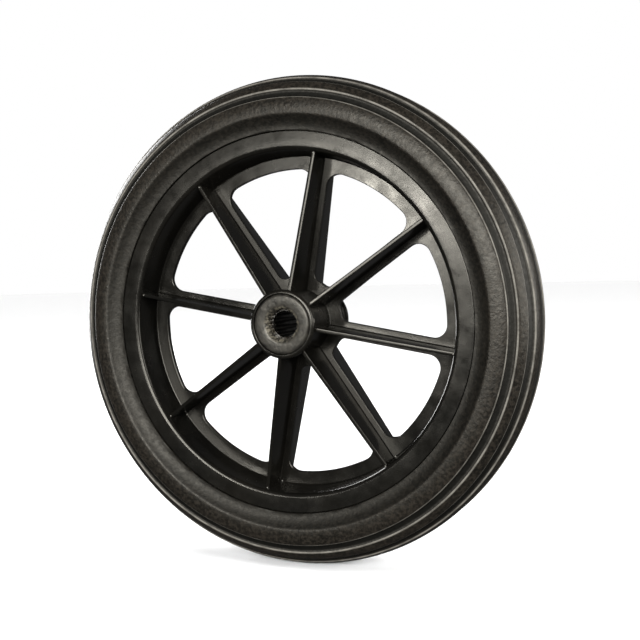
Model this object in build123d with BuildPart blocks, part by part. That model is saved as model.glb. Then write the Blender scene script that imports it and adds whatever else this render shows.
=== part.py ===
"""Eight-spoke moulded wheel with a ribbed rubber tyre and a caged roller bearing.

Millimetres. The axle runs along Y through the origin, which is the wheel's centre, and the front
face looks along -Y. A half section is drawn in the XY plane as (radius, distance along the axle).
"""
import os
from math import cos, radians, sin

from build123d import *

# ---- rim ----
rim_inner_r = 103.0         # inner wall, where it meets the web
rim_draft = 2.1             # the inner wall opens by this much on its way to the lip
rim_wall = 5.2              # from the inner wall out to the tyre's seat
rim_half_width = 20.9
lip_r = 2.8                 # rounding of the lip
flange_height = 8.4         # the flanges stand this far out from the seat
flange_thickness = 2.8

# ---- tyre ----
tyre_edge_gap = 0.3         # joint line between flange edge and rubber
bead_lip = 0.9              # how far the rubber stands proud of the flange face
sidewall_height = 9.5       # from the joint line out to the moulded ridge
sidewall_bulge = 3.9        # the ridge stands this much wider than the bead
dish_depth = 0.9            # hollow of the sidewall between bead and ridge
shoulder_step = 0.3         # the crown is this much wider than the ridge
shoulder_angle = 80.0       # where the shoulder runs into the crown, in degrees round it
groove_depth = 1.8
groove_angles = ((25.5, 38.5), (54.0, 67.0))  # side grooves, in degrees round the crown
centre_groove_angle = 12.0  # the middle groove runs from minus this to plus this

# ---- roller bearing ----
axle_bore_r = 8.0           # lips of the shell and the circle inside the rollers
roller_r = 2.0
roller_count = 12
roller_edge = 0.3
race_play = 0.05            # rollers to race, radial
shell_wall = 0.75
shell_lip = 1.0
cage_end_play = 0.3         # cage to the lips of the shell
cage_wall = 1.6
cage_ring_width = 2.1
cage_bore_play = 0.6        # end rings of the cage to the axle
cage_race_play = 0.55       # end rings of the cage to the race
pocket_play = 0.12          # rollers to the sides of their pockets
roller_end_play = 0.2       # rollers to the ends of their pockets

# ---- hub ----
hub_half_length = 30.4
barrel_wall = 7.2           # hub barrel outside the bearing shell
barrel_draft = 0.6          # the barrel narrows by this much towards each end
collar_lip = 1.0            # the collar stands this far out from the barrel
collar_wall = 2.7           # collar outside the end cap
collar_width = 3.6
collar_fillet = 1.9

# ---- end caps ----
cap_depth = 5.8
cap_edge_chamfer = 0.5
cap_axle_gap = 1.1          # cap to axle
cap_mouth_fillet = 2.8
flute_count = 24
flute_r = 0.45

# ---- web, spokes ----
spoke_count = 8
spoke_phase = 35.1          # first spoke, in degrees from +X towards +Z
web_thickness = 3.2
spoke_width = 10.4
rim_ring_width = 8.2        # web left inside the rim
hub_ring_width = 8.3        # web left outside the barrel
window_outer_fillet = 8.0
window_inner_fillet = 5.0
rib_thickness = 2.4
rib_collar_gap = 0.6        # ribs start this far below the collar
rib_rim_setback = 3.5       # and end this far below the flange face

edge_match = 0.1            # how close an edge must be to the one looked for

# ---- worked out from the above ----
lip_inner_r = rim_inner_r + rim_draft
seat_r = rim_inner_r + rim_wall
flange_r = seat_r + flange_height
flange_inner_y = rim_half_width - flange_thickness
bead_r = flange_r + tyre_edge_gap
bead_y = rim_half_width + bead_lip
ridge_r = bead_r + sidewall_height
ridge_y = bead_y + sidewall_bulge
crown_r = ridge_y + shoulder_step
crown_centre_r = ridge_r
tyre_outer_r = crown_centre_r + crown_r
roller_pitch_r = axle_bore_r + roller_r
race_r = roller_pitch_r + roller_r + race_play
shell_r = race_r + shell_wall
shell_half_length = hub_half_length - cap_depth
cage_half_length = shell_half_length - shell_lip - cage_end_play
pocket_half_length = cage_half_length - cage_ring_width
roller_half_length = pocket_half_length - roller_end_play
cage_ring_inner_r = axle_bore_r + cage_bore_play
cage_ring_outer_r = race_r - cage_race_play
barrel_r = shell_r + barrel_wall
barrel_end_r = barrel_r - barrel_draft
collar_r = barrel_r + collar_lip
cap_r = collar_r - collar_wall
cap_bore_r = axle_bore_r + cap_axle_gap
window_outer_r = rim_inner_r - rim_ring_width
window_inner_r = barrel_r + hub_ring_width
rib_hub_height = hub_half_length - collar_width - rib_collar_gap
rib_rim_height = rim_half_width - rib_rim_setback
spoke_angles = [spoke_phase + 360 / spoke_count * k for k in range(spoke_count)]

os.makedirs("parts", exist_ok=True)


def both_sides(points):
    """Points of a half section and their mirror images, in order round the whole section."""
    return points + [(r, -y) for r, y in reversed(points) if y]


def crown_point(angle, depth=0.0):
    """A point on the rounded tread section, at an angle from its widest radius."""
    reach = crown_r - depth
    return (crown_centre_r + reach * cos(radians(angle)), reach * sin(radians(angle)))


def round_edges(builder, radius, distance):
    """The circular edges of one radius at one distance from the mid-plane, on either side."""
    return [
        edge
        for edge in builder.edges().filter_by(GeomType.CIRCLE)
        if abs(edge.radius - radius) < edge_match and abs(abs(edge.center().Y) - distance) < edge_match
    ]


def spoke_plane(angle):
    """The plane of one rib: local x runs out along the spoke and local y along the axle."""
    a = radians(angle)
    return Plane(origin=(0, 0, 0), x_dir=(cos(a), 0, sin(a)), z_dir=(-sin(a), 0, cos(a)))


def tread_groove(start, end):
    """Outline of one tread groove, from above the crown down to the groove's floor."""
    above = -groove_depth
    middle = (start + end) / 2
    Line(crown_point(start, groove_depth), crown_point(start, above))
    ThreePointArc(crown_point(start, above), crown_point(middle, above), crown_point(end, above))
    Line(crown_point(end, above), crown_point(end, groove_depth))
    ThreePointArc(
        crown_point(end, groove_depth), crown_point(middle, groove_depth), crown_point(start, groove_depth)
    )


# ---- tyre: a solid rubber ring that fills the rim channel and rolls over the flange edges ----
dish_point = ((bead_r + ridge_r) / 2, (bead_y + ridge_y) / 2 - dish_depth)
shoulder_start = crown_point(shoulder_angle)
halfway = crown_point(shoulder_angle / 2)

with BuildPart() as tyre:
    with BuildSketch(Plane.XY):
        with BuildLine():
            for side in (1, -1):
                Polyline(
                    (seat_r, 0),
                    (seat_r, side * flange_inner_y),
                    (bead_r, side * flange_inner_y),
                    (bead_r, side * bead_y),
                )
                ThreePointArc(
                    (bead_r, side * bead_y),
                    (dish_point[0], side * dish_point[1]),
                    (ridge_r, side * ridge_y),
                )
                Line(
                    (ridge_r, side * ridge_y),
                    (shoulder_start[0], side * shoulder_start[1]),
                )
                ThreePointArc(
                    (shoulder_start[0], side * shoulder_start[1]),
                    (halfway[0], side * halfway[1]),
                    (tyre_outer_r, 0),
                )
        make_face()
    revolve(axis=Axis.Y)
    with BuildSketch(Plane.XY):
        for start, end in groove_angles:
            with BuildLine():
                tread_groove(start, end)
            make_face()
            with BuildLine():
                tread_groove(-end, -start)
            make_face()
        with BuildLine():
            tread_groove(-centre_groove_angle, centre_groove_angle)
        make_face()
    revolve(axis=Axis.Y, mode=Mode.SUBTRACT)

# ---- wheel centre: rim, web, spokes and hub in one moulding ----
rim_half_section = [
    (rim_inner_r, web_thickness / 2),
    (lip_inner_r, rim_half_width),
    (flange_r, rim_half_width),
    (flange_r, flange_inner_y),
    (seat_r, flange_inner_y),
]
barrel_half_section = [
    (barrel_r, 0),
    (barrel_end_r, hub_half_length - collar_width),
    (collar_r, hub_half_length - collar_width),
    (collar_r, hub_half_length),
    (cap_r, hub_half_length),
    (cap_r, shell_half_length),
    (shell_r, shell_half_length),
]

rib_half_outline = [
    ((barrel_end_r + cap_r) / 2, rib_hub_height),
    ((lip_inner_r + seat_r) / 2, rib_rim_height),
]

with BuildPart() as wheel_centre:
    for half_section in (rim_half_section, barrel_half_section):
        with BuildSketch(Plane.XY):
            with BuildLine():
                Polyline(*both_sides(half_section), close=True)
            make_face()
        revolve(axis=Axis.Y)
    fillet(round_edges(wheel_centre, lip_inner_r, rim_half_width), radius=lip_r)
    fillet(round_edges(wheel_centre, collar_r, hub_half_length), radius=collar_fillet)
    with BuildSketch(Plane.XZ):
        Circle((rim_inner_r + seat_r) / 2)
        Circle((barrel_r + shell_r) / 2, mode=Mode.SUBTRACT)
    extrude(amount=web_thickness / 2, both=True)
    with BuildSketch(Plane.XZ) as windows:
        Circle(window_outer_r)
        Circle(window_inner_r, mode=Mode.SUBTRACT)
        with PolarLocations(0, spoke_count, start_angle=spoke_phase):
            Rectangle(2 * window_outer_r, spoke_width, align=(Align.MIN, Align.CENTER), mode=Mode.SUBTRACT)
        half_way_r = (window_outer_r + window_inner_r) / 2
        outer_corners = [v for v in windows.vertices() if Vector(v).length > half_way_r]
        fillet(outer_corners, radius=window_outer_fillet)
        inner_corners = [v for v in windows.vertices() if Vector(v).length < window_inner_r + edge_match]
        fillet(inner_corners, radius=window_inner_fillet)
    extrude(amount=web_thickness, both=True, mode=Mode.SUBTRACT)
    for angle in spoke_angles:
        with BuildSketch(spoke_plane(angle)):
            with BuildLine():
                Polyline(*both_sides(rib_half_outline), close=True)
            make_face()
        extrude(amount=rib_thickness / 2, both=True)

# ---- bearing shell: a drawn steel cup with a lip turned in at each end ----
shell_half_section = [
    (race_r, shell_half_length - shell_lip),
    (axle_bore_r, shell_half_length - shell_lip),
    (axle_bore_r, shell_half_length),
    (shell_r, shell_half_length),
]

with BuildPart() as bearing_shell:
    with BuildSketch(Plane.XY):
        with BuildLine():
            Polyline(*both_sides(shell_half_section), close=True)
        make_face()
    revolve(axis=Axis.Y)

# ---- roller cage: a thin sleeve with a pocket for each roller and a ring at each end ----
cage_half_section = [
    (roller_pitch_r - cage_wall / 2, pocket_half_length),
    (cage_ring_inner_r, pocket_half_length),
    (cage_ring_inner_r, cage_half_length),
    (cage_ring_outer_r, cage_half_length),
    (cage_ring_outer_r, pocket_half_length),
    (roller_pitch_r + cage_wall / 2, pocket_half_length),
]

with BuildPart() as roller_cage:
    with BuildSketch(Plane.XY):
        with BuildLine():
            Polyline(*both_sides(cage_half_section), close=True)
        make_face()
    revolve(axis=Axis.Y)
    with BuildSketch(Plane.XZ):
        with PolarLocations(roller_pitch_r, roller_count, start_angle=spoke_phase):
            Circle(roller_r + pocket_play)
    extrude(amount=pocket_half_length, both=True, mode=Mode.SUBTRACT)

# ---- rollers: one straight roller in each pocket ----
rollers = []
for index in range(roller_count):
    angle = radians(spoke_phase + 360 / roller_count * index)
    centre = Vector(roller_pitch_r * cos(angle), 0, roller_pitch_r * sin(angle))
    with BuildPart() as roller:
        with BuildSketch(Plane(origin=centre, x_dir=(1, 0, 0), z_dir=(0, -1, 0))):
            Circle(roller_r)
        extrude(amount=roller_half_length, both=True)
        chamfer(roller.edges().filter_by(GeomType.CIRCLE), length=roller_edge)
    roller.part.label = f"roller_{index + 1:02d}"
    rollers.append(roller)

# ---- end caps: moulded rings that close the hub over the bearing ----
cap_half_section = [
    (cap_bore_r, shell_half_length),
    (cap_bore_r, hub_half_length),
    (cap_r, hub_half_length),
    (cap_r, shell_half_length),
]


def end_cap(side):
    """One cap, on the front for side -1 and on the rear for side 1."""
    with BuildPart() as cap:
        with BuildSketch(Plane.XY):
            with BuildLine():
                Polyline(*[(r, side * y) for r, y in cap_half_section], close=True)
            make_face()
        revolve(axis=Axis.Y)
        fillet(round_edges(cap, cap_bore_r, hub_half_length), radius=cap_mouth_fillet)
        chamfer(round_edges(cap, cap_r, hub_half_length), length=cap_edge_chamfer)
        with BuildSketch(Plane.XZ):
            with PolarLocations(cap_bore_r, flute_count, start_angle=spoke_phase):
                Circle(flute_r)
        extrude(amount=hub_half_length, both=True, mode=Mode.SUBTRACT)
    return cap


front_cap = end_cap(-1)
rear_cap = end_cap(1)

tyre.part.label = "tyre"
wheel_centre.part.label = "wheel_centre"
bearing_shell.part.label = "bearing_shell"
roller_cage.part.label = "roller_cage"
front_cap.part.label = "front_cap"
rear_cap.part.label = "rear_cap"

export_step(tyre.part, "parts/tyre.step")
export_step(wheel_centre.part, "parts/wheel_centre.step")
export_step(bearing_shell.part, "parts/bearing_shell.step")
export_step(roller_cage.part, "parts/roller_cage.step")
export_step(front_cap.part, "parts/front_cap.step")
export_step(rear_cap.part, "parts/rear_cap.step")
for roller in rollers:
    export_step(roller.part, f"parts/{roller.part.label}.step")
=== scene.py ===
# %% [markdown]
# # A moulded wheel with a ribbed rubber tyre
# This notebook dresses the exact model of a small cart wheel. The wheel is one plastic moulding
# with eight spokes, a solid rubber tyre pressed into its rim, and a roller bearing behind two
# moulded end caps. The sizes below follow the exact model, and each step adds what moulding and
# use leave on the real thing: rounded edges, flared rib roots, a ragged bore and dusty rubber.

# %% Load the frame
import math

import bmesh
import bpy
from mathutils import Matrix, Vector, noise


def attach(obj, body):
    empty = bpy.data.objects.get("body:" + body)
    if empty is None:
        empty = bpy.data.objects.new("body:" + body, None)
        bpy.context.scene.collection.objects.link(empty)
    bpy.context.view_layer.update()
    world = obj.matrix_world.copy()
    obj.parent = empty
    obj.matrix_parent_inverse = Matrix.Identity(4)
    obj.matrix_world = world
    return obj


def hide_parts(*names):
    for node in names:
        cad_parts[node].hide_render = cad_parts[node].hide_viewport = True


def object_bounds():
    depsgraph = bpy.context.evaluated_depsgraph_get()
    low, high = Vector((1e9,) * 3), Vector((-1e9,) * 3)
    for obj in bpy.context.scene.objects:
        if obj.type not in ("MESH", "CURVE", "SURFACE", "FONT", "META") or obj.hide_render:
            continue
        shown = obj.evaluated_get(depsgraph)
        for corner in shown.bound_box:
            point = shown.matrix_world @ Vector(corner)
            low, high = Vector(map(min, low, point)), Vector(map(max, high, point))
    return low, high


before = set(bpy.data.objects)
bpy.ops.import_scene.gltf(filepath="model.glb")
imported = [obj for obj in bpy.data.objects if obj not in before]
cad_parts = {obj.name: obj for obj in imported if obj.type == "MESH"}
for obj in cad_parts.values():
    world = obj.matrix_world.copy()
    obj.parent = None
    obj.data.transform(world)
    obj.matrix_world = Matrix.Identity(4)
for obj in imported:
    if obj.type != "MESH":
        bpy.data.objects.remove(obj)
cad_box = [list(corner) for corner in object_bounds()]
print("CAD box:", cad_box)

# %% [markdown]
# ## Small helpers
# Sections are written in millimetres as (radius, distance along the axle), the way a turner
# would draw them. A section is drawn by extruding one vertex from point to point and is then
# spun round the axle, which is the world's Y axis. Everything is modelled where it belongs, so a
# finished piece's object stays at the origin. An operator acts on all that is selected, so each
# helper clears the selection first and then picks what it needs.

# %% Selecting
MM = 0.001  # metres


def only(piece):
    """Makes one object the only one selected, and the active one."""
    bpy.ops.object.select_all(action="DESELECT")
    piece.select_set(True)
    bpy.context.view_layer.objects.active = piece


def edit(piece):
    """Opens one object in edit mode with nothing selected."""
    only(piece)
    bpy.ops.object.mode_set(mode="EDIT")
    bpy.ops.mesh.select_mode(type="VERT")
    bpy.ops.mesh.select_all(action="DESELECT")


def leave():
    """Goes back to object mode."""
    bpy.ops.object.mode_set(mode="OBJECT")


def pick(piece, test):
    """In edit mode, adds the vertices that pass a test to the selection."""
    shape = bmesh.from_edit_mesh(piece.data)
    for vertex in shape.verts:
        if test(vertex):
            vertex.select_set(True)
    bmesh.update_edit_mesh(piece.data)


print("lengths are in millimetres, turned to metres by", MM)


# %% Points of a section
def turned(r, y, degrees=0.0):
    """The point at a radius, a distance along the axle and an angle from +X towards +Z."""
    a = math.radians(degrees)
    return Vector((r * math.cos(a), y, r * math.sin(a))) * MM


def section(points, start=0.0):
    """Places a section in the half plane at a start angle. Two spun shapes that are joined later
    start at different angles, because a boolean can't tell apart edges that lie on each other."""
    return [turned(r, y, start) for r, y in points]


def corner(centre, radius, start, end, steps):
    """Points round a corner, from one angle to another in degrees, in the section's plane."""
    turns = [math.radians(start + (end - start) * k / steps) for k in range(steps + 1)]
    return [(centre[0] + radius * math.cos(t), centre[1] + radius * math.sin(t)) for t in turns]


def mirrored(half):
    """A half section followed by its mirror image, which closes it."""
    return half + [(r, -y) for r, y in reversed(half)]


print("a corner of two steps:", corner((0, 0), 1, 0, 90, 2))

# %% Drawing and spinning a section
SEAM_GAP = 2e-6  # metres: points nearer than this become one


def draw(name, points):
    """A closed outline through the points, drawn by extruding one vertex."""
    bpy.ops.object.select_all(action="DESELECT")
    bpy.ops.mesh.primitive_plane_add(size=MM, location=(0, 0, 0))
    piece = bpy.context.active_object
    piece.name = piece.data.name = name
    bpy.ops.object.mode_set(mode="EDIT")
    bpy.ops.mesh.select_mode(type="VERT")
    bpy.ops.mesh.select_all(action="SELECT")
    bpy.ops.mesh.merge(type="CENTER")
    bpy.ops.transform.translate(value=points[0])
    for before, after in zip(points, points[1:]):
        bpy.ops.mesh.extrude_vertices_move(TRANSFORM_OT_translate={"value": after - before})
    bpy.ops.mesh.select_all(action="DESELECT")
    pick(piece, lambda vertex: len(vertex.link_edges) == 1)
    bpy.ops.mesh.edge_face_add()
    leave()
    return piece


def spin(piece, steps):
    """Spins a drawn section round the axle into a closed skin that faces outwards."""
    edit(piece)
    bpy.ops.mesh.select_all(action="SELECT")
    bpy.ops.mesh.spin(steps=steps, angle=math.radians(360), center=(0, 0, 0), axis=(0, 1, 0))
    bpy.ops.mesh.select_all(action="SELECT")
    bpy.ops.mesh.remove_doubles(threshold=SEAM_GAP)
    bpy.ops.mesh.normals_make_consistent(inside=False)
    leave()
    return piece


print("sections are drawn and spun, and seams are closed within", SEAM_GAP, "m")


# %% Joining, cutting and shading
def combine(piece, other, how="UNION"):
    """Joins or cuts one closed shape with another and removes the second."""
    only(piece)
    step = piece.modifiers.new("Combine", "BOOLEAN")
    step.operation = how
    step.solver = "MANIFOLD"
    step.object = other
    bpy.ops.object.modifier_apply(modifier=step.name)
    bpy.data.objects.remove(other)


def smooth(piece, degrees):
    """Shades smooth across edges flatter than an angle, and leaves the others crisp."""
    only(piece)
    bpy.ops.object.shade_smooth_by_angle(angle=math.radians(degrees))
    print(piece.name, len(piece.data.polygons), "faces")


def round_the_axle(piece, count, first):
    """Copies of one piece at equal angles from the first, joined into one object."""
    copies = []
    for k in range(count):
        copy = piece.copy()
        copy.data = piece.data.copy()
        bpy.context.collection.objects.link(copy)
        copy.rotation_euler[1] = -math.radians(first + 360 / count * k)
        copies.append(copy)
    bpy.data.objects.remove(piece)
    bpy.ops.object.select_all(action="DESELECT")
    for copy in copies:
        copy.select_set(True)
    bpy.context.view_layer.objects.active = copies[0]
    bpy.ops.object.transform_apply(location=False, rotation=True, scale=False)
    bpy.ops.object.join()
    return bpy.context.active_object


print("shapes are joined with the manifold solver, which needs closed skins")

# %% [markdown]
# ## The tyre
# The real tyre is moulded in one piece. Its tread has two narrow grooves on each flank and a wide
# one in the middle, all with soft edges, and the sidewall is slightly dished. The grooves could be
# cut into a plain ring, but cuts leave hard edges. So they are drawn in the section itself, each
# edge rounded by a few points, and the spun skin has true relief all round.

# %% Tyre sizes
CROWN_R = 26.0  # rounding of the crown, in section
CROWN_AT = 126.4  # radius on which that rounding is centred
SHOULDER = (76.0, 73.0)  # where the crown starts above the sidewall, in degrees round it
SIDE_GROOVES = ((67.0, 54.0), (38.5, 25.5))  # from edge to edge, in degrees round the crown
CENTRE_GROOVE = 12.0  # the middle groove runs from minus this to plus this
BAND_TURNS = (5.0, 8.0)  # points that keep the bands between grooves round, past the last edge
GROOVE_DEPTH = 1.8
# A groove's flank, from the crown down to the floor: distance past the edge, and depth.
FLANK = (
    (-1.2, 0.0), (-0.7, 0.05), (-0.25, 0.2), (0.15, 0.5), (0.45, 0.9),
    (0.75, 1.3), (1.1, 1.58), (1.6, 1.75), (2.2, GROOVE_DEPTH),
)
TYRE_SEAT_R = 108.25
TYRE_SEAT_HALF = 18.0
BEAD = [(116.95, TYRE_SEAT_HALF), (116.95, 21.45), (117.15, 21.68)]
DISH = [(118.0, 21.75), (119.4, 21.95), (121.4, 22.55), (123.4, 23.6), (124.9, 24.65)]
RIDGE = [(125.6, 25.2), (126.2, 25.55), (127.0, 25.72), (128.6, 25.7), (130.9, 25.6)]
TYRE_STEPS = 320
print("tyre radius:", CROWN_AT + CROWN_R, "mm")


# %% Draw and spin the tyre
def on_crown(angle, depth=0.0):
    """A point at an angle round the crown, at a depth below it."""
    a = math.radians(angle)
    return (CROWN_AT + (CROWN_R - depth) * math.cos(a), (CROWN_R - depth) * math.sin(a))


def flank(edge, way):
    """One side of a groove that starts at an angle on the crown and sinks one way along it."""
    return [on_crown(edge + way * math.degrees(s / CROWN_R), depth) for s, depth in FLANK]


half_tyre = [(TYRE_SEAT_R, 0.0), (TYRE_SEAT_R, TYRE_SEAT_HALF)] + BEAD + DISH + RIDGE
half_tyre += [on_crown(angle) for angle in SHOULDER]
for top, bottom in SIDE_GROOVES:
    half_tyre += flank(top, -1) + flank(bottom, 1)[::-1]
    half_tyre += [on_crown(bottom - turn) for turn in BAND_TURNS]
half_tyre += flank(CENTRE_GROOVE, -1)
whole_tyre = half_tyre + [(r, -y) for r, y in reversed(half_tyre[1:])]
tyre = spin(draw("tyre_rubber_ring", section(whole_tyre)), TYRE_STEPS)
print("points in the tyre's section:", len(whole_tyre))

# %% [markdown]
# Rubber is squeezed out in a thin ragged line where the tyre's edge closes on the rim. A bump in
# the material would stay flat at the outline, so the points themselves move: smooth noise pushes
# the two rings of points at the bead's edge out along the axle and a little towards the rim.

# %% Ragged bead edge
EDGE_RADII = (116.9, 117.3)
EDGE_HALF = 21.3
RAGGED_OUT = 0.55  # mm along the axle
RAGGED_IN = 0.0008  # share of the radius
COARSE = 260  # noise sizes, as one over metres
FINE = 900
FINE_SHARE = 0.6

edit(tyre)
skin = bmesh.from_edit_mesh(tyre.data)
pushed = 0
for vertex in skin.verts:
    radius = math.hypot(vertex.co.x, vertex.co.z) / MM
    if EDGE_RADII[0] < radius < EDGE_RADII[1] and abs(vertex.co.y) > EDGE_HALF * MM:
        bump = noise.noise(vertex.co * COARSE) + FINE_SHARE * noise.noise(vertex.co * FINE)
        bump = max(0.0, bump)
        vertex.co.y += math.copysign(bump * RAGGED_OUT * MM, vertex.co.y)
        vertex.co.x *= 1 - bump * RAGGED_IN
        vertex.co.z *= 1 - bump * RAGGED_IN
        pushed += 1
bmesh.update_edit_mesh(tyre.data)
leave()
print("points at the bead's edges:", pushed)
smooth(tyre, degrees=40)

# %% [markdown]
# The grooves are darker, partly clean of dust and partly painted shade, the dished sidewall is
# painted darker as painted shade, and the bands gather dust. The grooves' edges are pale, partly
# rubbed wear and partly a painted highlight. A painted image would need an unwrapped surface. Two
# numbers kept on every point of the tyre do the same from its shape alone, and its finish reads
# them to follow the tread.

# %% Wear, dust, painted shade and painted highlights on the tread
# the pale groove edges are partly rubbed wear and partly a painted highlight
WEAR_AND_HIGHLIGHT_WIDTH = 0.7  # mm on each side of a groove's edge
WEAR_AND_HIGHLIGHT_DEPTH = 0.6  # mm below the crown, where the rubbing ends
WEAR_AND_HIGHLIGHT_ABOVE = -1.5  # mm outside the crown's centre
SIDEWALL_BELOW = -0.8  # mm outside the crown's centre
# painted shade: the dished sidewall is marked as if part way down a groove, so it takes the darker
# blacks
SIDEWALL_SHADE = 0.6

# painted shade for the grooves and the sidewall is kept as a number on every point
shade_of = tyre.data.attributes.new("groove_and_sidewall_shade", "FLOAT", "POINT")
edge_of = tyre.data.attributes.new("edge_wear_and_highlight", "FLOAT", "POINT")
groove_edges = [angle for pair in SIDE_GROOVES for angle in pair] + [CENTRE_GROOVE]
for vertex in tyre.data.vertices:
    out = math.hypot(vertex.co.x, vertex.co.z) / MM - CROWN_AT
    along = abs(vertex.co.y) / MM
    depth = CROWN_R - math.hypot(out, along)
    angle = math.degrees(math.atan2(along, out))
    near = min(abs(angle - edge) for edge in groove_edges) * CROWN_R * math.pi / 180
    shade = SIDEWALL_SHADE if out < SIDEWALL_BELOW else min(1.0, max(0.0, depth / GROOVE_DEPTH))
    rubbed_and_highlit = depth < WEAR_AND_HIGHLIGHT_DEPTH and out > WEAR_AND_HIGHLIGHT_ABOVE
    shade_of.data[vertex.index].value = shade
    edge_of.data[vertex.index].value = max(0.0, 1 - near / WEAR_AND_HIGHLIGHT_WIDTH) if rubbed_and_highlit else 0.0
print("tread finish kept on", len(tyre.data.vertices), "points")

# %% [markdown]
# ## The wheel centre
# One plastic moulding holds the rim, the web with its eight windows, the spokes and the hub.
# It is built the way a pattern maker would: a turned rim, a flat web with the windows cut out,
# deep thin ribs on both sides of every spoke, and a turned hub, joined into one closed skin.
# The rim comes first. Its inner wall flares into the web at one end and rolls over a round lip
# at the other, and every other shape is joined to it.

# %% Rim
WHEEL_STEPS = 256
FLANGE_R = 116.6
FLANGE_INNER = 18.1  # the flange's inner face, and the height of the lip's centre
RIM_SEAT_R = 108.2
rim_root = [(101.9, 0.9), (102.2, 1.5), (102.7, 1.75), (103.0, 2.05), (103.12, 2.6)]
rim_lip = corner((107.72, FLANGE_INNER), 2.8, 176.0, 90.0, 7)
rim_face = [(112.0, 20.93), (116.2, 20.9), (116.5, 20.78), (FLANGE_R, 20.5)]
half_rim = rim_root + rim_lip + rim_face + [(FLANGE_R, FLANGE_INNER), (RIM_SEAT_R, FLANGE_INNER)]
wheel = spin(draw("moulded_wheel_centre", section(mirrored(half_rim))), WHEEL_STEPS)
print("rim:", len(wheel.data.polygons), "faces")

# %% [markdown]
# ### Web and windows
# The windows are round-cornered openings whose edges are slightly rolled. Bevelling the cut edges
# afterwards folds the big flat faces beside them. So the rounding is put into the cutter: it is
# widest outside the web and narrows through each face, and one cut leaves the rounded edge.

# %% Outline of a window
WEB_HALF = 1.6
SPOKES = 8
FIRST_SPOKE = 35.1  # degrees from +X towards +Z
WINDOW_OUT = 94.8
WINDOW_IN = 28.3
SPOKE_HALF = 5.2
OUT_FILLET = 8.0
IN_FILLET = 5.0


def window_outline(grow):
    """A window's outline in (x, z), with the spoke beside it along +X, made larger all round."""
    half, far, near = SPOKE_HALF - grow, WINDOW_OUT + grow, WINDOW_IN - grow
    big, small = OUT_FILLET + grow, IN_FILLET + grow
    out_x = math.sqrt((far - big) ** 2 - (half + big) ** 2)
    in_x = math.sqrt((near + small) ** 2 - (half + small) ** 2)
    out_turn = math.degrees(math.atan2(half + big, out_x))
    in_turn = math.degrees(math.atan2(half + small, in_x))
    side = corner((out_x, half + big), big, out_turn, -90, 9)
    side += corner((in_x, half + small), small, -90, -180 + in_turn, 7)
    sector = 360 / SPOKES
    cos, sin = math.cos(math.radians(sector)), math.sin(math.radians(sector))
    other_side = [(x * cos + z * sin, x * sin - z * cos) for x, z in side]
    outer_arc = corner((0, 0), far, sector - out_turn, out_turn, 14)[1:-1]
    inner_arc = corner((0, 0), near, in_turn, sector - in_turn, 6)[1:-1]
    return outer_arc + side + inner_arc + other_side[::-1]


print("points round a window:", len(window_outline(0)))

# %% Window cutter
# Heights above the web's middle, and how much larger the cutter is there.
ROUNDING = [(1.15, 0.0), (1.42, 0.14), (WEB_HALF, 0.45), (2.6, 1.0)]
LEVELS = [(-y, grow) for y, grow in reversed(ROUNDING)] + ROUNDING

lowest, widest = LEVELS[0]
cutter = draw("window_cutter", [Vector((x, lowest, z)) * MM for x, z in window_outline(widest)])
edit(cutter)
bpy.ops.mesh.select_all(action="SELECT")
bpy.ops.mesh.edge_face_add()
for (y, grow), (next_y, next_grow) in zip(LEVELS, LEVELS[1:]):
    bpy.ops.mesh.extrude_region_move(TRANSFORM_OT_translate={"value": (0, (next_y - y) * MM, 0)})
    here, there = window_outline(grow), window_outline(next_grow)
    loop = bmesh.from_edit_mesh(cutter.data)
    for vertex in [v for v in loop.verts if v.select]:
        gaps = [(vertex.co.x - x * MM) ** 2 + (vertex.co.z - z * MM) ** 2 for x, z in here]
        x, z = there[gaps.index(min(gaps))]
        vertex.co.x = x * MM
        vertex.co.z = z * MM
    bmesh.update_edit_mesh(cutter.data)
bpy.ops.mesh.select_all(action="SELECT")
bpy.ops.mesh.normals_make_consistent(inside=False)
leave()
print("window cutter:", len(cutter.data.polygons), "faces")

# %% Cut the windows
WEB_FROM = 17.0
WEB_TO = 104.0
WEB_STEPS = 128
WEB_START = 0.7  # degrees
web_section = [(WEB_FROM, -WEB_HALF), (WEB_TO, -WEB_HALF), (WEB_TO, WEB_HALF), (WEB_FROM, WEB_HALF)]
web = spin(draw("web", section(web_section, WEB_START)), WEB_STEPS)
combine(web, round_the_axle(cutter, SPOKES, FIRST_SPOKE), "DIFFERENCE")
print("web with windows:", len(web.data.polygons), "faces")

# %% [markdown]
# ### Ribs
# A rib is a thin deep wall with a rounded top and a small flare where it grows out of the web.
# A scaled cube would have neither. The section is drawn once across the spoke and pushed out
# along it, and its far end is lowered, because a rib is less deep at the rim than at the hub.

# %% Ribs
RIB_HALF = 1.2
RIB_HUB_H = 26.2
RIB_RIM_H = 17.4
RIB_TOP_R = 0.6
RIB_FROM = 18.7
RIB_LENGTH = 88.0
FLARE = ((0.08, 2.9), (0.2, 2.15), (0.5, 1.75), (0.8, 1.5), (0.85, 0.9))  # extra width, height
FAR_FROM = 100.0  # the rib's far end lies beyond this radius
TOP_FROM = 10.0  # and its top above this height

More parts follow.
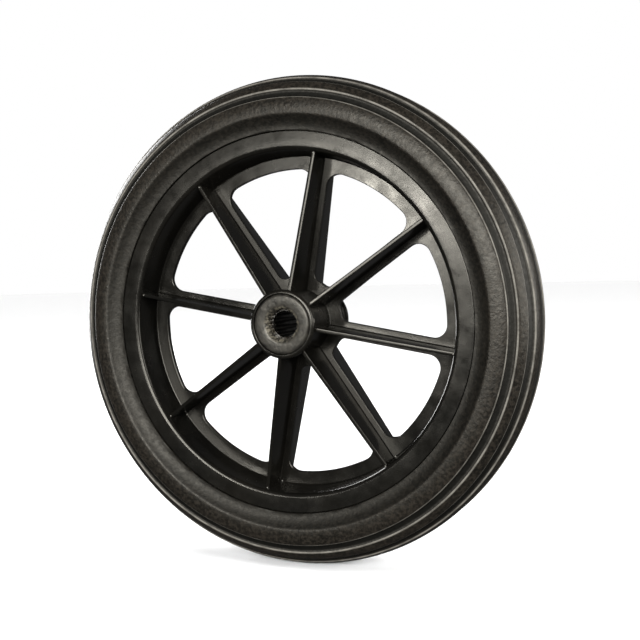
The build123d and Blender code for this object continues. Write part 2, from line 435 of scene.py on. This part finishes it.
quarter = corner((RIB_HALF - RIB_TOP_R, RIB_HUB_H - RIB_TOP_R), RIB_TOP_R, 90, 0, 3)
quarter += [(RIB_HALF + wider, y) for wider, y in FLARE]
half_rib = mirrored(quarter)
rib_section = half_rib + [(-t, y) for t, y in reversed(half_rib)]
rib = draw("rib", [Vector((RIB_FROM, y, t)) * MM for t, y in rib_section])
edit(rib)
bpy.ops.mesh.select_all(action="SELECT")
bpy.ops.mesh.edge_face_add()
bpy.ops.mesh.extrude_region_move(TRANSFORM_OT_translate={"value": (RIB_LENGTH * MM, 0, 0)})
drop = (RIB_HUB_H - RIB_RIM_H) * MM
for side_sign in (1, -1):
    bpy.ops.mesh.select_all(action="DESELECT")
    pick(rib, lambda v: v.co.x > FAR_FROM * MM and v.co.y * side_sign > TOP_FROM * MM)
    bpy.ops.transform.translate(value=(0, -side_sign * drop, 0))
bpy.ops.mesh.select_all(action="SELECT")
bpy.ops.mesh.normals_make_consistent(inside=False)
leave()
ribs = round_the_axle(rib, SPOKES, FIRST_SPOKE)
print("ribs:", len(ribs.data.polygons), "faces")

# %% [markdown]
# ### Hub
# The barrel narrows towards its ends so that it leaves the mould, and a slightly wider collar
# closes it. It is turned like the rim. The collar's rounded edge and the counterbore for the cap
# are points of its section.

# %% Hub barrel and collar
HUB_STEPS = 144
HUB_START = 1.7  # degrees
barrel = [(20.9, 0.9), (20.7, 1.5), (20.3, 1.9), (20.02, 2.8), (19.45, 26.3)]
collar = [(19.6, 26.75), (20.5, 26.82), (20.9, 26.95), (21.0, 27.3)]
collar += corner((19.1, 28.5), 1.9, 0, 90, 7)
counterbore = [(18.8, 30.38), (18.5, 30.2), (18.34, 29.8), (18.3, 29.2), (18.3, 24.6), (12.8, 24.6)]
half_hub = barrel + collar + counterbore
hub = spin(draw("hub_barrel", section(mirrored(half_hub), HUB_START)), HUB_STEPS)
print("hub:", len(hub.data.polygons), "faces")

# %% [markdown]
# ### Small raised marks
# One spoke carries a small blank raised plate, and the collar a small nub. Both are blocks whose
# edges are bevelled before they are joined to the rest, because afterwards a bevel would need its
# edges picked out of the whole moulding.

# %% Small raised marks
PLATE_SPOKE = 170.1  # degrees
PLATE_R = 33.5
PLATE_ASIDE = 3.7  # from the spoke's middle line
NUB_TURN = 6.0  # degrees


def block(name, r, y, size, degrees, round_edge):
    """A block with rounded edges, at a radius, a distance along the axle and an angle."""
    bpy.ops.object.select_all(action="DESELECT")
    bpy.ops.mesh.primitive_cube_add(size=1, location=turned(r, y))
    piece = bpy.context.active_object
    piece.name = name
    piece.scale = Vector(size) * MM
    bpy.ops.object.transform_apply(location=True, rotation=False, scale=True)
    edit(piece)
    bpy.ops.mesh.select_all(action="SELECT")
    bpy.ops.mesh.bevel(offset=round_edge * MM, segments=2, affect="EDGES")
    leave()
    piece.rotation_euler[1] = -math.radians(degrees)
    bpy.ops.object.transform_apply(location=False, rotation=True, scale=False)
    return piece


plate = block("blank_plate", PLATE_R, -1.75, (12.0, 0.9, 2.2), PLATE_SPOKE, 0.12)
plate.location = turned(PLATE_ASIDE, 0, PLATE_SPOKE + 90)
only(plate)
bpy.ops.object.transform_apply(location=True, rotation=False, scale=False)
nub = block("collar_nub", 20.9, -28.3, (1.2, 1.9, 3.6), NUB_TURN, 0.55)
print("raised marks:", plate.name, nub.name)

# %% [markdown]
# ### Join the moulding
# The shapes overlap a little, so a boolean union makes them one closed skin, as the real moulding
# is. A union leaves faces with many sides, which Blender shades badly. Splitting only those, by
# triangulating faces of five sides or more, keeps the turned surfaces as neat bands.

# %% Join the moulding
MANY_SIDES = 5
for part in (web, ribs, hub, plate, nub):
    combine(wheel, part)
only(wheel)
split_up = wheel.modifiers.new("Split big faces", "TRIANGULATE")
split_up.min_vertices = MANY_SIDES
split_up.ngon_method = "BEAUTY"
bpy.ops.object.modifier_apply(modifier=split_up.name)
smooth(wheel, degrees=19)

# %% [markdown]
# ### Pale break marks
# Where each spoke ends, the mould left a tiny pale break on the rib's corner and another where
# the web meets the rim. Being geometry, they keep their place and size in every view. They are
# flat domes little more than a millimetre across, sunk into the plastic.

# %% Pale break marks
# Radius, distance along the axle, half the width, and degrees past the spoke.
BREAK_MARKS = ((104.4, -17.35, 0.75, 0), (102.6, -1.75, 0.6, 1.6))
DOME_SHAPE = (1.0, 0.5, 0.8)

marks = []
for r, y, across, past_spoke in BREAK_MARKS:
    bpy.ops.object.select_all(action="DESELECT")
    bpy.ops.mesh.primitive_uv_sphere_add(
        segments=12, ring_count=8, radius=across * MM, location=turned(r, y)
    )
    dome = bpy.context.active_object
    dome.scale = DOME_SHAPE
    bpy.ops.object.transform_apply(location=True, rotation=False, scale=True)
    marks.append(round_the_axle(dome, SPOKES, FIRST_SPOKE + past_spoke))
bpy.ops.object.select_all(action="DESELECT")
for mark in marks:
    mark.select_set(True)
bpy.context.view_layer.objects.active = marks[0]
bpy.ops.object.join()
breaks = bpy.context.active_object
breaks.name = breaks.data.name = "mould_break_marks"
smooth(breaks, degrees=60)

# %% [markdown]
# ## End caps
# The caps are small moulded rings. Their mouth is broken into short worn flutes, so the bore's
# edge looks ragged. Cutting 24 grooves would leave them all alike. Instead the ring is spun with
# many steps, and the points near its mouth are pushed out by a wave whose strength varies.

# %% Cap sizes
CAP_STEPS = 288
FLUTES = 24
CAP_BACK = 24.65
CAP_MOUTH_R = 9.1
CAP_EDGE_R = 18.25
WORN_TO = 10.7  # the flutes reach out to this radius
WORN_FADE = 1.3  # and fade out over this distance
FLUTE_DEPTH = 0.75
FLUTE_POWER = 1.5  # narrows the flutes
WEAR_MEAN = 0.75  # how worn a flute is: mean, spread and how quickly it varies round the mouth
WEAR_SPREAD = 0.9
WEAR_CHANGE = 5
CRUMBLE = 0.22  # fine roughness of the mouth, and its noise size as one over metres
CRUMBLE_SIZE = 1300
LEAST_PUSH = -0.1
MOUTH_FROM = 27.0  # the mouth's face lies beyond this distance along the axle
SINK_AT_FLUTE = 0.3
SINK_ALL_ROUND = 0.1
print("one flute every", 360 / FLUTES, "degrees")


# %% Spin and wear the caps
def cap(name, side_sign):
    """An end cap on one side of the wheel, with a worn fluted mouth."""
    mouth = corner((12.3, 27.2), 3.2, 180, 94, 10)
    edge = corner((16.55, 28.7), 1.7, 90, 0, 6)
    half = [(CAP_MOUTH_R, CAP_BACK)] + mouth + edge + [(CAP_EDGE_R, CAP_BACK)]
    ring = spin(draw(name, section([(r, side_sign * y) for r, y in half])), CAP_STEPS)
    for vertex in ring.data.vertices:
        flat = Vector((vertex.co.x, 0, vertex.co.z)) / MM
        along = abs(vertex.co.y) / MM
        if flat.length > WORN_TO:
            continue
        angle = math.atan2(flat.z, flat.x)
        flute = max(0.0, math.cos(angle * FLUTES)) ** FLUTE_POWER
        round_it = Vector((math.cos(angle), side_sign, math.sin(angle)))
        worn = WEAR_MEAN + WEAR_SPREAD * noise.noise(round_it * WEAR_CHANGE)
        fade = min(1.0, max(0.0, (WORN_TO - flat.length) / WORN_FADE))
        push = fade * (flute * FLUTE_DEPTH * worn + CRUMBLE * noise.noise(vertex.co * CRUMBLE_SIZE))
        vertex.co += flat.normalized() * max(LEAST_PUSH, push) * MM
        if along > MOUTH_FROM:
            sink = SINK_AT_FLUTE * flute * worn + SINK_ALL_ROUND
            vertex.co.y -= side_sign * fade * sink * MM
    smooth(ring, degrees=50)
    return ring


front_ring = cap("front_cap_ring", -1)
rear_ring = cap("rear_cap_ring", 1)

# %% [markdown]
# ## Materials
# Black parts live from their surface, not their colour: the rubber has a fine grain and a dusty
# bloom, the moulded plastic a satin skin with flow marks. An image could carry all this, but node
# noise needs none and never repeats. All patterns read Object coordinates, so they keep their
# scale in metres and stay with the piece in any view. The rubber also reads its two numbers.


# %% Material helpers
def finish(name, colour, rough, specular=0.5, metal=0.0):
    """A new node material with its plain values set on the shader's own sockets."""
    material = bpy.data.materials.new(name)
    material.use_nodes = True
    tree = material.node_tree
    shader = tree.nodes["Principled BSDF"]
    shader.inputs["Base Color"].default_value = (*colour, 1)
    shader.inputs["Roughness"].default_value = rough
    shader.inputs["Specular IOR Level"].default_value = specular
    shader.inputs["Metallic"].default_value = metal
    place = tree.nodes.new("ShaderNodeTexCoord").outputs["Object"]
    return material, tree, shader, place


def feed(tree, value, socket, as_colour=False):
    """Links a node's output to a socket, or sets a plain number or colour on it."""
    if hasattr(value, "links"):
        tree.links.new(value, socket)
    else:
        socket.default_value = (*value, 1) if as_colour else value


def cloud(tree, place, scale, detail=3.0, rough=0.5):
    """Smooth noise with features about one over the scale, in metres."""
    node = tree.nodes.new("ShaderNodeTexNoise")
    node.inputs["Scale"].default_value = scale
    node.inputs["Detail"].default_value = detail
    node.inputs["Roughness"].default_value = rough
    tree.links.new(place, node.inputs["Vector"])
    return node.outputs["Fac"]


def spread(tree, value, low, high, out_low=0, out_high=1):
    """Stretches a value from one range to another and clamps it."""
    node = tree.nodes.new("ShaderNodeMapRange")
    ends = {"From Min": low, "From Max": high, "To Min": out_low, "To Max": out_high}
    for socket, end in ends.items():
        node.inputs[socket].default_value = end
    tree.links.new(value, node.inputs["Value"])
    return node.outputs["Result"]


print("noise sizes are given as one over metres")


# %% More material helpers
def blend(tree, factor, first, second):
    """The first colour where the factor is 0, and the second where it is 1."""
    node = tree.nodes.new("ShaderNodeMix")
    node.data_type = "RGBA"
    tree.links.new(factor, node.inputs["Factor"])
    feed(tree, first, node.inputs[6], as_colour=True)
    feed(tree, second, node.inputs[7], as_colour=True)
    return node.outputs[2]


def reckon(tree, how, first, second):
    """The sum or product of two values."""
    node = tree.nodes.new("ShaderNodeMath")
    node.operation = how
    feed(tree, first, node.inputs[0])
    feed(tree, second, node.inputs[1])
    return node.outputs[0]


def kept(tree, name):
    """A number kept on the piece's points."""
    node = tree.nodes.new("ShaderNodeAttribute")
    node.attribute_name = name
    return node.outputs["Fac"]


def relief(tree, height, distance, strength, under=None):
    """A bump of a height in metres, on top of another bump if one is given."""
    node = tree.nodes.new("ShaderNodeBump")
    node.inputs["Distance"].default_value = distance
    node.inputs["Strength"].default_value = strength
    tree.links.new(height, node.inputs["Height"])
    if under is not None:
        tree.links.new(under, node.inputs["Normal"])
    return node.outputs["Normal"]


WARM = (1.0, 0.955, 0.84, 1.0)  # tint of the black parts' reflections
print("reflections of the black parts are tinted", WARM)

# %% [markdown]
# ### Rubber
# Moulded rubber is nearly black, with a grain that breaks up its shine. The grooves are darker,
# partly clean of dust and partly painted shade, and the dished sidewall is painted darker as
# painted shade.
# Dust settles on the raised bands as pale grit and specks, and the edges of the grooves are pale in
# patches, partly rubbed wear and partly a painted highlight. Each of these is a colour blended over
# the last, so they can be tuned one at a time.

# %% Rubber colours
# painted shade: darker blacks for the grooves, partly clean of dust and partly standing for shade
GROOVE_BLACKS_CLEAN_AND_SHADED = ((0.0018, 0.0020, 0.0017), (0.0040, 0.0040, 0.0033))
BAND_BLACKS = ((0.0040, 0.0037, 0.0030), (0.0120, 0.0103, 0.0080))
GRIT = (0.036, 0.030, 0.023)
SPECK = (0.05, 0.045, 0.036)
# painted highlight: the pale edge colour, partly rubbed wear and partly standing for the highlight
# on the rounded edges
RUBBED_AND_HIGHLIT = (0.32, 0.30, 0.26)

rubber, tree, shader, place = finish("tyre_rubber", (0.008, 0.0075, 0.0065), 0.36, 0.36)
shader.inputs["Specular Tint"].default_value = WARM
groove_and_sidewall_mask = kept(tree, "groove_and_sidewall_shade")
at_edge = kept(tree, "edge_wear_and_highlight")
patches = spread(tree, cloud(tree, place, 22, 4), 0.35, 0.68)
grit = spread(tree, cloud(tree, place, 480, 5, 0.75), 0.44, 0.60)
specks = spread(tree, cloud(tree, place, 1500, 2), 0.60, 0.74, 0, 0.5)
clean_and_shaded_groove = blend(tree, patches, *GROOVE_BLACKS_CLEAN_AND_SHADED)
band = blend(tree, patches, *BAND_BLACKS)
band = blend(tree, reckon(tree, "MULTIPLY", grit, 0.75), band, GRIT)
# painted shade: the grooves and the sidewall take the darker blacks
colour = blend(tree, groove_and_sidewall_mask, band, clean_and_shaded_groove)
on_band = reckon(tree, "MULTIPLY", specks, spread(tree, groove_and_sidewall_mask, 0, 1, 1, 0.25))
colour = blend(tree, on_band, colour, SPECK)
wear_and_highlight_patches = spread(tree, cloud(tree, place, 130, 4), 0.3, 0.6, 0.35, 1)
# painted highlight, with wear: the groove edges turn pale in patches
colour = blend(tree, reckon(tree, "MULTIPLY", at_edge, wear_and_highlight_patches), colour, RUBBED_AND_HIGHLIT)
tree.links.new(colour, shader.inputs["Base Color"])
print("rubber colours blended in", len(tree.nodes), "nodes")

# %% Rubber gloss and grain
shine = spread(tree, cloud(tree, place, 330, 6, 0.7), 0.36, 0.64, 0.24, 0.42)
duller = spread(tree, groove_and_sidewall_mask, 0, 1, 0.04, 0.2)
tree.links.new(reckon(tree, "ADD", shine, duller), shader.inputs["Roughness"])
grain = relief(tree, cloud(tree, place, 430, 2, 0.5), 0.00022, 0.8)
fine_grain = relief(tree, cloud(tree, place, 1000, 1), 0.00008, 0.7, grain)
tree.links.new(fine_grain, shader.inputs["Normal"])
print("rubber finished in", len(tree.nodes), "nodes")

# %% [markdown]
# ### Moulded plastic
# The wheel centre has a smooth satin skin. Wide soft patches in its colour and gloss show how the
# plastic flowed, a faint ripple bends the highlights, and a few pale flecks are handling marks.

# %% Moulded plastic
PLASTIC_BLACKS = ((0.0030, 0.0030, 0.0026), (0.0092, 0.0082, 0.0064))
FLECK = (0.06, 0.054, 0.046)

plastic, tree, shader, place = finish("moulded_black_plastic", (0.006, 0.0055, 0.0046), 0.22, 0.5)
shader.inputs["Specular Tint"].default_value = WARM
flow = spread(tree, cloud(tree, place, 16, 5, 0.6), 0.35, 0.7)
flecks = spread(tree, cloud(tree, place, 1100, 1), 0.70, 0.78, 0, 0.35)
colour = blend(tree, flecks, blend(tree, flow, *PLASTIC_BLACKS), FLECK)
tree.links.new(colour, shader.inputs["Base Color"])
satin = spread(tree, cloud(tree, place, 75, 6, 0.62), 0.32, 0.68, 0.15, 0.29)
tree.links.new(satin, shader.inputs["Roughness"])
ripple = relief(tree, cloud(tree, place, 240, 3), 0.00005, 0.5)
skin_grain = relief(tree, cloud(tree, place, 1400, 3), 0.00002, 0.6, ripple)
tree.links.new(skin_grain, shader.inputs["Normal"])
print("plastic finished in", len(tree.nodes), "nodes")

# %% [markdown]
# ### Cap plastic
# The caps are greyer and mottled, and paler in patches round their ragged mouth. The distance from
# the axle tells the mouth from the face, and noise keeps the pale part from being a clean ring.

# %% Cap plastic
CAP_GREYS = ((0.009, 0.0088, 0.008), (0.050, 0.046, 0.038))
# a paler colour round the mouth of the caps
PALE_MOUTH_COLOUR = (0.20, 0.18, 0.135)
MOUTH_EDGES = (0.0100, 0.0120)  # metres from the axle, where the pale mouth fades out

cap_plastic, tree, shader, place = finish("cap_plastic", (0.02, 0.019, 0.017), 0.3, 0.5)
shader.inputs["Specular Tint"].default_value = WARM
split = tree.nodes.new("ShaderNodeSeparateXYZ")
tree.links.new(place, split.inputs[0])
across = tree.nodes.new("ShaderNodeCombineXYZ")
tree.links.new(split.outputs["X"], across.inputs["X"])
tree.links.new(split.outputs["Z"], across.inputs["Z"])
from_axle = tree.nodes.new("ShaderNodeVectorMath")
from_axle.operation = "LENGTH"
tree.links.new(across.outputs[0], from_axle.inputs[0])
near_mouth = spread(tree, from_axle.outputs["Value"], *MOUTH_EDGES, 1, 0)
mottle = spread(tree, cloud(tree, place, 460, 4, 0.6), 0.44, 0.60)
pale_mouth_mask = reckon(tree, "MULTIPLY", near_mouth, mottle)
sunk = spread(tree, cloud(tree, place, 260, 5, 0.65), 0.36, 0.64)
colour = blend(tree, pale_mouth_mask, blend(tree, sunk, *CAP_GREYS), PALE_MOUTH_COLOUR)
tree.links.new(colour, shader.inputs["Base Color"])
dimples = relief(tree, cloud(tree, place, 420, 3, 0.6), 0.00022, 0.8)
tree.links.new(dimples, shader.inputs["Normal"])
print("caps finished in", len(tree.nodes), "nodes")

# %% [markdown]
# ### Steel and cage
# The bearing's shell and rollers are ground steel, coloured very dark and darker still in patches,
# with fine lines along the axle. Noise stretched by a Mapping node draws the lines. The cage is
# dark nylon.

# %% Steel
# very dark steel colours, darker in patches
DARK_STEEL_TONES = ((0.13, 0.125, 0.115), (0.035, 0.03, 0.022))
ALONG_AXLE = (1, 0.04, 1)  # how the noise is squeezed in X, Y and Z

steel, tree, shader, place = finish("bearing_steel", (0.1, 0.095, 0.085), 0.2, 0.5, 1.0)
stretch = tree.nodes.new("ShaderNodeMapping")
stretch.inputs["Scale"].default_value = ALONG_AXLE
tree.links.new(place, stretch.inputs["Vector"])
lines = spread(tree, cloud(tree, stretch.outputs[0], 2400, 2), 0.3, 0.7, 0.12, 0.24)
tree.links.new(lines, shader.inputs["Roughness"])
dark_patches = spread(tree, cloud(tree, place, 300, 4), 0.4, 0.65)
tree.links.new(blend(tree, dark_patches, *DARK_STEEL_TONES), shader.inputs["Base Color"])
print("steel finished in", len(tree.nodes), "nodes")

# %% Nylon and pale breaks
NYLON_BLACKS = ((0.008, 0.0075, 0.006), (0.022, 0.020, 0.016))

nylon, tree, shader, place = finish("cage_nylon", (0.05, 0.045, 0.035), 0.5, 0.4)
colour = blend(tree, cloud(tree, place, 400, 4), *NYLON_BLACKS)
tree.links.new(colour, shader.inputs["Base Color"])
tree.links.new(relief(tree, cloud(tree, place, 1500, 3), 0.00005, 0.5), shader.inputs["Normal"])
pale = finish("pale_break", (0.24, 0.23, 0.2), 0.4)[0]
print("finishes made:", nylon.name, pale.name)

# %% [markdown]
# ## Bodies and what each piece stands for
# A new piece rides on the body that its exact counterpart belongs to, and replaces it. The break
# marks ride on the wheel and replace nothing. The shell, the cage and the rollers are kept from
# the exact model, so they only get a finish.


# %% Give each piece its finish, its body and the part it stands for
def paint(piece, material):
    """Gives a piece one material and drops any other."""
    piece.data.materials.clear()
    piece.data.materials.append(material)


def dress(piece, material, body, slot, *stands_for):
    """Paints a piece, and says its body and the exact parts that it replaces. Its slot is not used.
    """
    paint(piece, material)
    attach(piece, body)
    if stands_for:
        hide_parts(*stands_for)


dress(tyre, rubber, "wheel", "tyre_rubber", "tyre")
dress(wheel, plastic, "wheel", "moulded_plastic", "wheel_centre")
dress(breaks, pale, "wheel", "moulded_plastic")
dress(front_ring, cap_plastic, "wheel", "cap_plastic", "front_cap")
dress(rear_ring, cap_plastic, "wheel", "cap_plastic", "rear_cap")
for name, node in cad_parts.items():
    if name == "roller_cage":
        paint(node, nylon)
    elif name == "bearing_shell" or name.startswith("roller_"):
        paint(node, steel)
print("pieces dressed, with", len(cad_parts), "exact parts in the frame")

# %% [markdown]
# ## Floor, light and camera
# The pale floor lies just under the tyre. It isn't seen by reflections or soft light, because its
# brightness would grey the black parts from below.

# %% Floor
FLOOR_R = 7  # metres
FLOOR_WHITE = (0.86, 0.86, 0.86)
bpy.ops.object.select_all(action="DESELECT")
bpy.ops.mesh.primitive_circle_add(
    vertices=96, radius=FLOOR_R, fill_type="NGON", location=(0, 0, cad_box[0][2])
)
floor = bpy.context.active_object
floor.name = "studio_floor"
paint(floor, finish("floor_paint", FLOOR_WHITE, 0.8, 0.1)[0])
floor.visible_diffuse = floor.visible_glossy = False
print("floor at", cad_box[0][2], "m")

# %% [markdown]
# The backdrop is white to the eye but gives almost no light, like a white sweep lit on its own far
# behind the wheel. A light path node tells what the camera sees from what lights the wheel. The
# floor has its own overhead lamp, linked to it alone, which leaves a soft shadow under the tyre.

# %% Backdrop
FILL_LIGHT = 0.07
WHITE_TO_THE_EYE = 1.0
world = bpy.data.worlds.new("studio")
bpy.context.scene.world = world
world.use_nodes = True
backdrop = world.node_tree
seen = backdrop.nodes.new("ShaderNodeLightPath").outputs["Is Camera Ray"]
strength = spread(backdrop, seen, 0, 1, FILL_LIGHT, WHITE_TO_THE_EYE)
backdrop.links.new(strength, backdrop.nodes["Background"].inputs["Strength"])
backdrop.nodes["Background"].inputs["Color"].default_value = (1, 1, 1, 1)
print("backdrop fill:", FILL_LIGHT)

# %% [markdown]
# A black wheel is drawn by the lights it reflects. A wide box in front gives the broad highlights,
# one on the right lights the tread, a small bright one stands at the front left, and one behind
# gives the rear a little light.

# %% Softboxes
LIGHT_DISTANCE = 2.0  # metres from the hub


def softbox(name, azimuth, elevation, width, height, glow):
    """A rectangular light aimed at the wheel, in front at azimuth 0 and to the right at 90.
    Its glow is the brightness of its face, so a bigger box with the same glow gives more light."""
    a, e = math.radians(azimuth), math.radians(elevation)
    way = Vector((math.sin(a) * math.cos(e), -math.cos(a) * math.cos(e), math.sin(e)))
    light = bpy.data.lights.new(name, "AREA")
    light.shape = "RECTANGLE"
    light.size = width
    light.size_y = height
    light.energy = glow * math.pi * width * height
    lamp = bpy.data.objects.new(name, light)
    bpy.context.collection.objects.link(lamp)
    lamp.location = way * LIGHT_DISTANCE
    lamp.rotation_euler = (-lamp.location).to_track_quat("-Z", "Y").to_euler()
    print(name, round(light.energy, 1), "W")


softbox("front_key", azimuth=9, elevation=15, width=1.7, height=0.95, glow=10)
softbox("right_side", azimuth=92, elevation=12, width=2.2, height=1.3, glow=4.4)
softbox("front_spot", azimuth=-17.5, elevation=4.5, width=0.2, height=0.16, glow=48)
softbox("behind", azimuth=238, elevation=12, width=1.5, height=1.2, glow=7)

# %% Floor lamp
SUN_STRENGTH = 3.35
SUN_WIDTH = 70  # degrees, which makes the shadow soft
sun = bpy.data.lights.new("floor_lamp", "SUN")
sun.energy = SUN_STRENGTH
sun.angle = math.radians(SUN_WIDTH)
overhead = bpy.data.objects.new("floor_lamp", sun)
bpy.context.collection.objects.link(overhead)
only_floor = bpy.data.collections.new("floor_only")
only_floor.objects.link(floor)
overhead.light_linking.receiver_collection = only_floor

# %% [markdown]
# The camera stands in front, to the right of the axle and a little above it. Its lens is a little
# longer than a normal one, so the near side of the rim isn't stretched.

# %% Camera
CAMERA_AT = (0.2724, -0.6331, 0.0386)  # metres
CAMERA_TURN = (86.841, 1.289, 22.219)  # degrees
lens = bpy.data.cameras.new("camera")
lens.lens = 61.875
lens.sensor_width = 36.0
lens.clip_start = 0.01
camera = bpy.data.objects.new("camera", lens)
bpy.context.collection.objects.link(camera)
camera.location = CAMERA_AT
camera.rotation_euler = [math.radians(turn) for turn in CAMERA_TURN]
bpy.context.scene.camera = camera
bpy.context.scene.view_settings.view_transform = "Standard"
print("camera is", round(camera.location.length, 3), "m from the hub")
